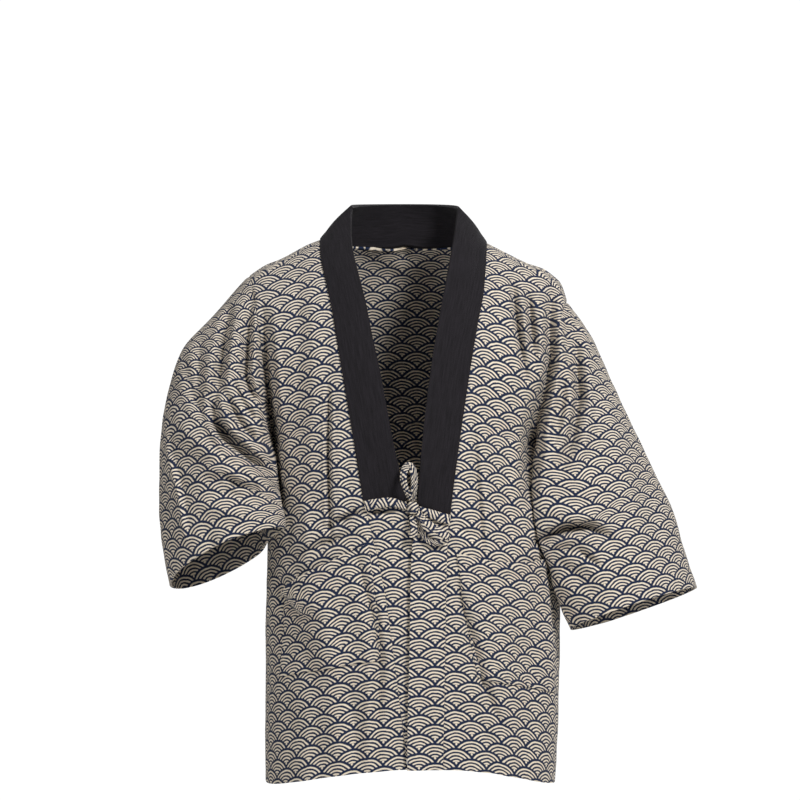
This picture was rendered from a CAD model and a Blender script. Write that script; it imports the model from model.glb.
# %% [markdown]
# # A padded kimono coat, dressed in Blender
# The coat is a hanten: a short jacket of printed cotton, thinly padded, with a plain black collar,
# wide sleeves, two patch pockets and a pair of cloth ties in a bow. It is shown as worn, and hollow.
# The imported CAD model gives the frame: each piece of cloth there is a plain wall at its real size.
# Here every piece is made again as a finer sheet on the same form, with its folds, seams and print.

# %% Load the frame
import math

import bmesh
import bpy
import numpy as np
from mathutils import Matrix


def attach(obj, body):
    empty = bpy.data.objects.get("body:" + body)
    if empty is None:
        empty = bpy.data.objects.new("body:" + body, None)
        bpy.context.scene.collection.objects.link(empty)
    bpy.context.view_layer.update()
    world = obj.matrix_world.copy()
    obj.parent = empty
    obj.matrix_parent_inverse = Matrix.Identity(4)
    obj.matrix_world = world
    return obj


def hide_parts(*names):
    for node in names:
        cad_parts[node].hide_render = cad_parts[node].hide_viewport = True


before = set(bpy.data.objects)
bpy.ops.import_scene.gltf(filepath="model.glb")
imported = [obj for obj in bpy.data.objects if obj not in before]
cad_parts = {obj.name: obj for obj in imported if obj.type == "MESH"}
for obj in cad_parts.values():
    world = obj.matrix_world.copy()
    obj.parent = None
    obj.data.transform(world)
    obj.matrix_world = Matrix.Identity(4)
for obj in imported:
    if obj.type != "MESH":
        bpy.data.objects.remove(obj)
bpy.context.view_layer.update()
print("nodes in the frame:", len(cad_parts))

# %% [markdown]
# ## Camera
# The photograph looks level at the coat from about three metres. At the coat's middle plane one
# picture element is 1.31 mm, which gives the lens. The camera is made first, because every later
# choice of fold and shade is judged through it.

# %% Make the camera
MM = 0.001
CAMERA_AWAY = 3.0
PHOTO_SCALE = 1.31 * MM
PHOTO_SIZE = 800
SENSOR = 36.0

camera_data = bpy.data.cameras.new("camera")
camera_data.sensor_width = SENSOR
camera_data.lens = SENSOR * CAMERA_AWAY / (PHOTO_SCALE * PHOTO_SIZE)
camera = bpy.data.objects.new("camera", camera_data)
camera.location = (-7.9 * MM, -CAMERA_AWAY, -212 * MM)
camera.rotation_euler = (math.radians(90), 0, 0)
bpy.context.scene.collection.objects.link(camera)
bpy.context.scene.camera = camera
print("lens:", round(camera_data.lens, 1), "mm")

# %% [markdown]
# ## The cut of the coat
# A garment's form comes from a few sizes: the shoulder line, the depth of the body at each height,
# the side seams, the front seams and the rings of the sleeves. These are the CAD model's own sizes in
# millimetres, so that the finer sheets lie where its walls are. A smooth curve reads between the rows.

# %% Sizes and sections of the coat
CLOTH = 3.0
COLLAR_CLOTH = 5.0
ROUNDNESS = 2.3
NECK_HEIGHT = 45.0
SLEEVE_CLEARANCE = 3.3
UNDER_TUCK = 5.2
OVER_LIFT = 1.5
HEM_Z = -708.0
UNDERARM_Z = -270.0
COLLAR_END_Z = -338.0
OVERLAP_FADE = 55
SIDES = ("right", "left")
OUT = {"right": -1, "left": 1}

SHOULDER_LINE = {
    "right": [(0, 45), (60, 28), (111, -1), (130, -9), (164, -27), (184, -35), (207, -50)],
    "left": [(0, 45), (60, 27), (104, -5), (121, -14), (158, -32), (179, -39), (191, -47),
             (203, -59), (212, -84)],
}
NECK_SIDE = {"right": 111, "left": 104}

# How far the cloth stands in front and behind, at each drop below the shoulder line
DEPTH_DROP = [0, 30, 60, 100, 150, 200, 270, 340, 450, 600, 760]
DEPTH = {
    "front": [0, 50, 75, 98, 118, 130, 140, 145, 150, 152, 152],
    "back": [0, 62, 90, 112, 125, 130, 129, 125, 126, 138, 148],
}

# Half the body's width, as (z, x), and the long front seams
SIDE_LINE = {
    "right": [(-708, 184), (-600, 184), (-440, 182), (-270, 178)],
    "left": [(-708, 195), (-652, 197), (-480, 201), (-440, 198), (-350, 186), (-270, 172)],
}
FRONT_SEAM = {
    "right": [(-673, 2), (-657, 0), (-464, -25), (-338, -52.4), (-262, -65), (-174, -80),
              (-135, -86.7), (-91, -94.5), (-30, -108.6), (-1, -111)],
    "left": [(-673, 46), (-534, 48.6), (-410, 51), (-356, 54), (-262, 66), (-173, 79.5),
             (-113, 90), (-76, 97.5), (-9, 104), (-5, 104)],
}
BAND_EDGE = {
    "right": [(-673, 52), (-464, 25), (-400, 9), (-338, 0)],
    "left": [(-673, 0.9), (-600, 1.6), (-524, 3.7), (-410, 6.2), (-345, 13.5)],
}

# Levels of the fronts from the hem up, as (seam z, side z): hem, pocket's foot, pocket's mouth,
# collar's end, underarm, shoulder
LEVELS = {
    "right": [(-673, -708), (-537, -572), (-391, -430), (-338, -378), (-228, -270), (-1, -50)],
    "left": [(-673, -708), (-553, -592), (-404, -418), (-356, -366), (-235, -270), (-5, -84)],
}
BACK_HEM = -705.0


def read_curve(points, place):
    """A smooth curve through a table's points, read at one place or at many."""
    rows = sorted(points)
    xs = np.array([row[0] for row in rows], float)
    ys = np.array([row[1] for row in rows], float)
    before = np.concatenate([[0], np.arange(len(xs) - 1)])
    after = np.concatenate([np.arange(1, len(xs)), [len(xs) - 1]])
    slopes = (ys[after] - ys[before]) / (xs[after] - xs[before])
    at = np.clip(np.asarray(place, float), xs[0], xs[-1])
    k = np.clip(np.searchsorted(xs, at, side="right") - 1, 0, len(xs) - 2)
    step = xs[k + 1] - xs[k]
    t = (at - xs[k]) / step
    start = ys[k] * (2 * t**3 - 3 * t**2 + 1) + ys[k + 1] * (3 * t**2 - 2 * t**3)
    return start + slopes[k] * step * (t**3 - 2 * t**2 + t) + slopes[k + 1] * step * (t**3 - t**2)


def ease(t):
    """A soft step from 0 to 1."""
    t = np.clip(t, 0, 1)
    return t * t * (3 - 2 * t)


def mix(a, b, t):
    """The value a share t of the way from a to b."""
    return a + (b - a) * t


print("coat from shoulder to hem:", round(-HEM_Z), "mm")

# %% [markdown]
# ## The form of the body
# Seen from above, a worn body section is between an ellipse and a box, so a superellipse draws it. Its
# depth grows like a root below the shoulder line, because cloth rounds over a shoulder. One function
# gives the depth for any place, and another finds how wide a section must be to pass through a seam.


# %% Body form
def shoulder_height(x):
    """Height of the shoulder line over any place across the coat."""
    x = np.asarray(x, float)
    right = read_curve(SHOULDER_LINE["right"], np.abs(x))
    left = read_curve(SHOULDER_LINE["left"], np.abs(x))
    return np.where(x < 0, right, left)


def depth_at(drop, face):
    """How far the cloth stands out at a drop below the shoulder line."""
    squares = list(zip(DEPTH_DROP, [d * d for d in DEPTH[face]]))
    return np.sqrt(np.maximum(0, read_curve(squares, np.maximum(drop, 0))))


def section(x, reach):
    """The share of its full depth that a body section keeps at x."""
    inside = np.maximum(0, 1 - (np.abs(x) / reach) ** ROUNDNESS)
    return inside ** (1 / ROUNDNESS)


def body_depth(x, z, reach, face):
    """y of the worn cloth at a place on the front or the back."""
    depth = depth_at(shoulder_height(x) - z, face) * section(x, reach)
    return -depth if face == "front" else depth


def reach_through(end, face):
    """Half width of the section that passes through a panel's end."""
    depth = float(depth_at(shoulder_height(end[0]) - end[2], face))
    if abs(end[1]) < 0.01:
        return abs(end[0]) * (2 if depth < 1 else 1)
    ratio = min(0.97, abs(end[1]) / depth)
    return abs(end[0]) / (1 - ratio**ROUNDNESS) ** (1 / ROUNDNESS)


def side_reach(side, z):
    """Half the body's width at a height."""
    return read_curve(SIDE_LINE[side], z)


def overlap_shift(side, x, z):
    """The left band rides over the right front, which tucks in under it."""
    edge = read_curve(BAND_EDGE["left"], z)
    below = ease((COLLAR_END_Z - z) / OVERLAP_FADE)
    if side == "right":
        return UNDER_TUCK * below * ease((x - edge + 34) / 30)
    return -OVER_LIFT * below * (1 - ease((x - edge) / 40))


# %% [markdown]
# ## The form of the sleeves
# A sleeve is a tube through rings. Each ring goes from the line that lies against the body to the far
# edge, with a depth to the front and to the back. The right arm is bent with its hand at the pocket, so
# its rings turn forward at the elbow. Where a sleeve hangs against the body, it is moved just clear.

# %% Rings of the sleeves
# Each row: inner x y z, outer x y z, half depth in front, behind, lean in x, lean in z, pull to neck
RING_COLUMNS = ("ix", "iy", "iz", "ox", "oy", "oz", "front", "back", "lean_x", "lean_z", "pull")
SLEEVE_RINGS = {
    "right": [
        (-178, 0, -270, -207, 0, -50, 62, 68, 0, 0, 9),
        (-178, -30, -300, -250, 0, -98, 63, 68, 0, 0, 14),
        (-175, -58, -327, -296, 5, -153, 65, 68, -0.05, 0.02, 16),
        (-171, -78, -345, -319, 10, -234, 67, 68, -0.12, 0.06, 14),
        (-167, -90, -356, -323, 5, -331, 68, 68, -0.2, 0.12, 7),
        (-164, -96, -366, -315, -10, -404, 66, 66, -0.25, 0.2, 0),
        (-163, -98, -375, -304, -25, -456, 64, 64, -0.25, 0.26, 0),
    ],
    "left": [
        (172, 0, -270, 212, 0, -84, 74, 78, 0, 0, 10),
        (173, -16, -303, 243.5, 0, -131, 73, 77, 0, 0, 6),
        (171, -42, -347, 280, -2, -209, 72, 76, 0, 0.02, 2),
        (178, -56, -394, 316, -5, -288, 71, 74, 0, 0.04, 0),
        (190, -62, -438, 345, -8, -350, 70, 72, 0, 0.08, 0),
        (202, -64, -475, 362, -12, -405, 70, 71, 0, 0.14, 0),
        (212.5, -64, -505.7, 379, -16, -457, 70, 70, 0, 0.21, 0),
    ],
}


def sleeve_points(side, along, angle, face):
    """Points of a sleeve for arrays of angles, from -90 degrees underneath to 90 on the far edge."""
    rings = SLEEVE_RINGS[side]
    value = {
        name: float(read_curve([(k, ring[c]) for k, ring in enumerate(rings)], along * (len(rings) - 1)))
        for c, name in enumerate(RING_COLUMNS)
    }
    inner = np.array([value["ix"], value["iy"], value["iz"]])
    outer = np.array([value["ox"], value["oy"], value["oz"]])
    forward = np.array([value["lean_x"], -1, value["lean_z"]])
    forward /= np.linalg.norm(forward)
    depth = np.where(np.asarray(face), value["front"], -value["back"])
    points = (inner + outer) / 2 + (outer - inner) / 2 * np.sin(angle)[:, None]
    points = points + forward * (depth * np.cos(angle))[:, None]
    points[:, 0] -= OUT[side] * value["pull"] * np.cos(angle)
    return points


print("rings on each sleeve:", len(SLEEVE_RINGS["right"]))

# %% Sleeves beside the body
# Where a sleeve laps over the front: middle height, half height and how far
LAPS = {"right": [(-322, 62, 14)], "left": [(-335, 92, 25), (-468, 36, 10)]}


def lap_over_front(side, points):
    """Brings the front of a sleeve in over the body's corner, as the hanging cloth rests there."""
    out = np.abs(points[:, 0])
    for middle, half, far in LAPS[side]:
        share = np.exp(-(((points[:, 2] - middle) / half) ** 4)) * ease((-points[:, 1] - 40) / 40)
        points[:, 0] -= OUT[side] * far * share * ease((240 - out) / 50)
    return points


def clear_of_body(side, points, gap):
    """Moves sleeve points off the body where the arm hangs against it."""
    soft = 3.0
    for face in ("front", "back"):
        reach = side_reach(side, np.minimum(points[:, 2], UNDERARM_Z))
        depth = depth_at(shoulder_height(OUT[side] * reach * 0.9) - points[:, 2], face)
        ratio = np.abs(points[:, 1]) / np.maximum(depth, 1)
        wall = reach * np.maximum(1e-6, 1 - np.minimum(ratio, 1) ** ROUNDNESS) ** (1 / ROUNDNESS) + gap
        out = np.abs(points[:, 0])
        moved = wall + soft * np.logaddexp(0, (out - wall) / soft)
        near = (points[:, 2] < -262) & (ratio < 1) & ((points[:, 1] < 0) == (face == "front"))
        points[:, 0] = np.where(near, OUT[side] * np.maximum(out, moved), points[:, 0])
    return points


print("laps over the fronts:", {side: len(rows) for side, rows in LAPS.items()})

# %% [markdown]
# ## Rows of cloth
# A panel is a grid: rows run across the cloth and columns run up it. Each row is drawn finely and then
# stepped evenly along the cloth, so that a square of the grid is a square of cloth. Steps are closer at
# the edges, where the seams pull the cloth in.

# %% Stepping along the cloth
# Squares of cloth between the levels of a front, and points on a fine row
PANEL_ROWS = (26, 30, 12, 22, 54)
FINE = 160


def edge_steps(count, length, reach=5.0):
    """Places from 0 to 1, about evenly spaced, with closer ones within a few mm of both ends."""
    close = np.array([0, 0.35, 0.8, 1.5, 2.6, reach]) / length
    inner = np.linspace(close[-1], 1 - close[-1], count - 2 * (len(close) - 1) + 1)
    return np.concatenate([close[:-1], inner, 1 - close[:-1][::-1]])


def along_row(points, stops):
    """Points at given shares of a fine row's length."""
    steps = np.linalg.norm(np.diff(points, axis=0), axis=1)
    length = np.concatenate([[0], np.cumsum(steps)])
    wanted = np.asarray(stops) * length[-1]
    return np.stack([np.interp(wanted, length, points[:, c]) for c in range(3)], axis=1)


print("first steps on 100 mm:", (edge_steps(20, 100)[:4] * 100).round(2))


# %% Which way cloth faces
def faces_outwards(grid, inside):
    """True where columns, then rows, turn a grid's faces away from the points inside the garment."""
    normals = np.cross(np.gradient(grid, axis=1), np.gradient(grid, axis=0))
    return np.sum(normals * (grid - inside)) > 0


def grid_normals(grid, inside):
    """Unit normals of a grid, pointing away from the points inside the garment."""
    normals = np.cross(np.gradient(grid, axis=1), np.gradient(grid, axis=0))
    normals /= np.maximum(1e-9, np.linalg.norm(normals, axis=2, keepdims=True))
    return normals if faces_outwards(grid, inside) else -normals


flat_test = np.stack([*np.meshgrid([0.0, 1, 2], [0.0, 1, 2]), np.zeros((3, 3))], axis=2)
print("a flat test sheet faces up:", grid_normals(flat_test, flat_test - [0, 0, 1])[0, 0])


# %% Rows up a panel
# The steepest slope that the print follows, as a rise over a run
STEEPEST = 4
SLOPES = {}


def fine_x(from_x, to_x, reach):
    """Places across a row, closer together where the section turns the corner to the side."""
    if from_x * to_x <= 0:
        return np.linspace(from_x, to_x, FINE)
    turn = [math.acos(min(1, (abs(x) / reach) ** (ROUNDNESS / 2))) for x in (from_x, to_x)]
    xs = reach * np.abs(np.cos(np.linspace(turn[0], turn[1], FINE))) ** (2 / ROUNDNESS)
    xs = xs * math.copysign(1, from_x)
    xs[0] = from_x
    xs[-1] = to_x
    return xs


def panel_rows(side):
    """Every fine row of a side: seam z, side z and, in the armhole, its angle on the sleeve's ring."""
    rows = []
    levels = LEVELS[side]
    for k, count in enumerate(PANEL_ROWS):
        for m in range(count + (k == len(PANEL_ROWS) - 1)):
            t = m / count
            angle = None
            if k == len(PANEL_ROWS) - 1:
                angle = math.pi * (t - 0.5)
                t = (1 + math.sin(angle)) / 2
            low, high = levels[k], levels[k + 1]
            rows.append((mix(low[0], high[0], t), mix(low[1], high[1], t), angle))
    return rows


def slope_up(x, z, reach, face):
    """How fast the cloth comes forward or goes back with height, for the print's true scale."""
    drop = shoulder_height(x) - z
    step = 2
    steep = (depth_at(drop + step, face) - depth_at(np.maximum(drop - step, 0), face)) / (2 * step)
    return np.clip(steep * section(x, reach), -STEEPEST, STEEPEST) * (1 if face == "front" else -1)


ROWS = {side: panel_rows(side) for side in SIDES}
COLLAR_ROW = sum(PANEL_ROWS[:3])
UNDERARM_ROW = sum(PANEL_ROWS[:4])
print("rows up each front:", len(ROWS["right"]))

# %% [markdown]
# ## Grids of the panels
# Each function returns the outside of one piece of cloth as rows of points in millimetres. The fronts
# run from the long seam to the side, the back from side to side, and a sleeve all round.


# %% Fronts
def row_end(side, row, face):
    """Where a row ends: at the side seam, or on the armhole's ring."""
    if row[2] is None:
        return np.array([OUT[side] * float(side_reach(side, row[1])), 0.0, row[1]])
    return sleeve_points(side, 0, np.array([row[2]]), [face == "front"])[0]


def front_grid(side, columns=120):
    """A front, from its long seam to the side seam and the armhole."""
    grid = []
    slopes = []
    stops = edge_steps(columns, 300)
    for seam_z, side_z, angle in ROWS[side]:
        seam_x = float(read_curve(FRONT_SEAM[side], seam_z))
        end = row_end(side, (seam_z, side_z, angle), "front")
        reach = reach_through(end, "front")
        x = fine_x(seam_x, end[0], reach)
        across = np.clip(np.abs(x - seam_x) / abs(end[0] - seam_x), 0, 1)
        hung = mix(seam_z, side_z, across**1.8)
        seam_drop = shoulder_height(seam_x) - seam_z
        side_drop = shoulder_height(end[0]) - side_z
        draped = shoulder_height(x) - mix(seam_drop, side_drop, across)
        z = mix(hung, draped, np.clip((side_z - HEM_Z) / (UNDERARM_Z - HEM_Z), 0, 1))
        y = body_depth(x, z, reach, "front")
        if seam_z < COLLAR_END_Z:
            y = y + overlap_shift(side, x, z)
        points = along_row(np.stack([x, y, z], axis=1), stops)
        points[-1] = end
        if angle is not None and angle > math.pi / 2 - 1e-6:
            points[:, 1] = 0
        grid.append(points)
        slopes.append(slope_up(points[:, 0], points[:, 2], reach, "front"))
    SLOPES[f"front_{side}"] = np.array(slopes)
    return np.array(grid)


GRIDS = {f"front_{side}": front_grid(side) for side in SIDES}
print("fronts:", GRIDS["front_right"].shape[:2], GRIDS["front_left"].shape[:2])


# %% Back
def back_grid(side_columns=58, neck_columns=44):
    """The back, from side to side, with the neck cut out."""
    grid = []
    slopes = []
    for right, left in zip(ROWS["right"], ROWS["left"]):
        ends = {"right": row_end("right", right, "back"), "left": row_end("left", left, "back")}
        reach = {side: reach_through(ends[side], "back") for side in SIDES}
        upper = 0 if right[2] is None else (1 + math.sin(right[2])) / 2

        def height(x, side, row):
            out = np.abs(x)
            share = np.clip(out / abs(ends[side][0]), 0, 1)
            neck_drop = np.maximum(0, NECK_HEIGHT * (1 - (out / NECK_SIDE[side]) ** 2))
            top = shoulder_height(x) - neck_drop
            under = shoulder_height(x) - mix(245, shoulder_height(ends[side][0]) - UNDERARM_Z, share)
            if row[2] is not None:
                miss = row[1] - mix(UNDERARM_Z, float(shoulder_height(ends[side][0])), upper)
                return mix(under, top, upper) + miss * share
            hem = mix(BACK_HEM, HEM_Z, (out / 190) ** 2)
            return mix(hem, under, (row[1] - HEM_Z) / (UNDERARM_Z - HEM_Z))

        def stretch(x, stops):
            side_right = x <= 0
            z = np.where(side_right, height(x, "right", right), height(x, "left", left))
            y = np.where(side_right, body_depth(x, z, reach["right"], "back"),
                         body_depth(x, z, reach["left"], "back"))
            return along_row(np.stack([x, y, z], axis=1), stops)

        neck_x = {
            "right": -mix(100, NECK_SIDE["right"], float(ease((right[1] - HEM_Z) / 650))),
            "left": mix(100, NECK_SIDE["left"], float(ease((left[1] - HEM_Z) / 620))),
        }
        outer = np.linspace(0, 1, side_columns + 1)
        first = stretch(fine_x(ends["right"][0], neck_x["right"], reach["right"]), outer**1.15)
        middle = stretch(fine_x(neck_x["right"], neck_x["left"], 400), np.linspace(0, 1, neck_columns + 1))
        last = stretch(fine_x(neck_x["left"], ends["left"][0], reach["left"]), 1 - (1 - outer) ** 1.15)
        points = np.concatenate([first, middle[1:], last[1:]])
        points[0] = ends["right"]
        points[-1] = ends["left"]
        grid.append(points)
        slopes.append(np.where(points[:, 0] < 0, slope_up(points[:, 0], points[:, 2], reach["right"], "back"),
                               slope_up(points[:, 0], points[:, 2], reach["left"], "back")))
    SLOPES["back"] = np.array(slopes)
    return np.array(grid)


GRIDS["back"] = back_grid()
print("back:", GRIDS["back"].shape[:2])


# %% Sleeves
def sleeve_grid(side, around=210, along_rows=126):
    """Rows from the armhole to the cuff. The grid's two upright edges meet under the arm."""
    grid = []
    turn = np.linspace(-0.5, 1.5, around + 1) * math.pi
    face = turn <= math.pi / 2
    angle = np.where(face, turn, math.pi - turn)
    for along in edge_steps(along_rows, 330):
        points = sleeve_points(side, along, angle, face)
        if along > 0:
            points = lap_over_front(side, points)
            points = clear_of_body(side, points, 0.5 + SLEEVE_CLEARANCE * float(ease(along * 6)))
        grid.append(points)
    return np.array(grid)


GRIDS.update({f"sleeve_{side}": sleeve_grid(side) for side in SIDES})
print("sleeves:", GRIDS["sleeve_right"].shape[:2], GRIDS["sleeve_left"].shape[:2])

# %% [markdown]
# ## Bands and collar
# Below the collar each front ends in a band of the same print. The collar itself is one long strip: it
# lies on the chest, turns up beside the neck and stands behind it. Its inner edge is read from a table
# in front, and follows a half circle round the neck behind.

# %% Bands
BAND_REACH = 190
BAND_COLUMNS = 26
BAND_END_RISE = 11


def edge_distance(grid, axis, end):
    """Distance along the cloth of every point from one edge of its grid."""
    steps = np.linalg.norm(np.diff(grid, axis=axis), axis=2)
    pad = [(0, 0), (0, 0)]
    pad[axis] = (1, 0)
    length = np.cumsum(np.pad(steps, pad), axis=axis)
    total = np.take(length, [-1], axis=axis)
    return length if end == "start" else total - length


def band_grid(side):
    """A front edge strip, from its seam to its free edge, up to the collar."""
    grid = []
    front = GRIDS[f"front_{side}"]
    stops = edge_steps(BAND_COLUMNS, 50)
    for j in range(COLLAR_ROW + 1):
        seam = front[j][0]
        edge_x = float(read_curve(BAND_EDGE[side], seam[2]))
        rise = BAND_END_RISE * (j / COLLAR_ROW) ** 6 if side == "left" else 0
        x = mix(seam[0], edge_x, stops)
        z = seam[2] + rise * stops
        y = body_depth(x, z, BAND_REACH, "front") + overlap_shift(side, x, z)
        y = y + (seam[1] - y[0]) * (1 - stops)
        grid.append(np.stack([x, y, z], axis=1))
    return np.array(grid)


GRIDS.update({f"band_{side}": band_grid(side) for side in SIDES})
print("bands:", GRIDS["band_right"].shape[:2], GRIDS["band_left"].shape[:2])

# %% Collar
# Each row: seam height, then the free edge's x, y, z
COLLAR_EDGE = {
    "right": [
        (-338, 0, -149, -338), (-262, -16.6, -143, -262), (-174, -33, -131, -174),
        (-135, -41.8, -120, -134), (-91, -51.5, -103, -86), (-58, -62, -84, -46),
        (-30, -68.8, -62, -19), (-14, -72, -40, 7), (-1, -72, -12, 42),
    ],
    "left": [
        (-356, 13.5, -150, -345), (-262, 20, -144, -262), (-173, 30.4, -131, -174),
        (-113, 41.5, -114, -108), (-76, 49, -97, -70), (-45, 55.5, -77, -36),
        (-18, 63, -48, 2), (-5, 69, -12, 40),
    ],
}
COLLAR_BACK_DEPTH = 72
COLLAR_BACK_RISE = 51
COLLAR_BOW = 4
COLLAR_COLUMNS = 26


def collar_edge(side, seam_z):
    """The collar's free edge beside a height on its seam."""
    return np.array([read_curve([(row[0], row[c]) for row in COLLAR_EDGE[side]], seam_z) for c in (1, 2, 3)])


def collar_grid():
    """The collar, from one chest end round the neck to the other."""
    stations = []
    chest = {}
    for side in SIDES:
        seam = GRIDS[f"front_{side}"][COLLAR_ROW:, 0]
        chest[side] = [(point, collar_edge(side, point[2])) for point in seam]
    top = GRIDS["back"][-1]
    neck = top[(np.abs(top[:, 2] - 2) < 30) & (top[:, 1] > 1)]
    right_edge = chest["right"][-1][1]
    left_edge = chest["left"][-1][1]
    stations += chest["right"]
    for k, seam in enumerate(neck):
        angle = math.pi * (k + 1) / (len(neck) + 1)
        start = mix(right_edge, left_edge, (1 - math.cos(angle)) / 2)
        start[1] = mix(start[1], COLLAR_BACK_DEPTH, math.sin(angle) ** 0.9)
        start[2] = mix(start[2], COLLAR_BACK_RISE, math.sin(angle) ** 0.8)
        stations.append((seam, start))
    stations += chest["left"][::-1]
    stops = edge_steps(COLLAR_COLUMNS, 48)
    rows = []
    for k, (seam, edge) in enumerate(stations):
        t = k / (len(stations) - 1)
        middle = (seam + edge) / 2
        away = np.array([middle[0], middle[1], 0])
        away /= np.linalg.norm(away)
        bow = COLLAR_BOW * np.sin(math.pi * stops) * min(1, (0.35 + 0.65 * math.sin(math.pi * t)))
        bow = bow * min(1, 12 * min(t, 1 - t) + 0.1)
        rows.append(mix(seam, edge, stops[:, None]) + away * bow[:, None])
    rows[0] = GRIDS["band_right"][-1].copy()
    rows[-1] = GRIDS["band_left"][-1].copy()
    return np.array(rows)


GRIDS["collar"] = collar_grid()
print("collar stations:", len(GRIDS["collar"]))

# %% The collar's sewn edge
COLLAR_LAP = 1.2
NECK_LAP = 6.0
COLLAR_PROUD = 1.5


def lap_collar(grid):
    """Carries the collar's sewn edge a little over the cloth, as its turned seam does."""
    around = grid * [0, 0, 1]
    normals = grid_normals(grid, around)
    step = grid[:, 0] - grid[:, 3]
    step /= np.linalg.norm(step, axis=1, keepdims=True)
    lap = mix(COLLAR_LAP, NECK_LAP, ease(grid[:, 0, 1] / 30))
    first = grid[:, :1] + step[:, None] * lap[:, None, None] * np.array([1.0, 0.75, 0.4])[:, None]
    first = first + normals[:, :1] * np.array([-0.2, 0.9, COLLAR_PROUD])[:, None]
    high = ease(1 - edge_distance(grid, 1, "start") / 14) * COLLAR_PROUD
    return np.concatenate([first, grid + normals * high[..., None]], axis=1)


print("the collar laps over the cloth by", COLLAR_LAP, "mm in front and", NECK_LAP, "mm behind")

# %% [markdown]
# ## Folds
# Each fold is laid by hand where the cloth bends: at the front of the armholes, in the crook of the bent
# elbow, under the pockets. It runs through a few places of the front or back view, sinks the cloth there
# and raises it a little on both sides, as pushed cloth does. A fold may cross a seam, so one table serves
# all the panels that share a view. The back, which isn't seen, gets folds of the same kind.

# %% Folds, front and back
FOLD_GAIN = 1.6
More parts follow.
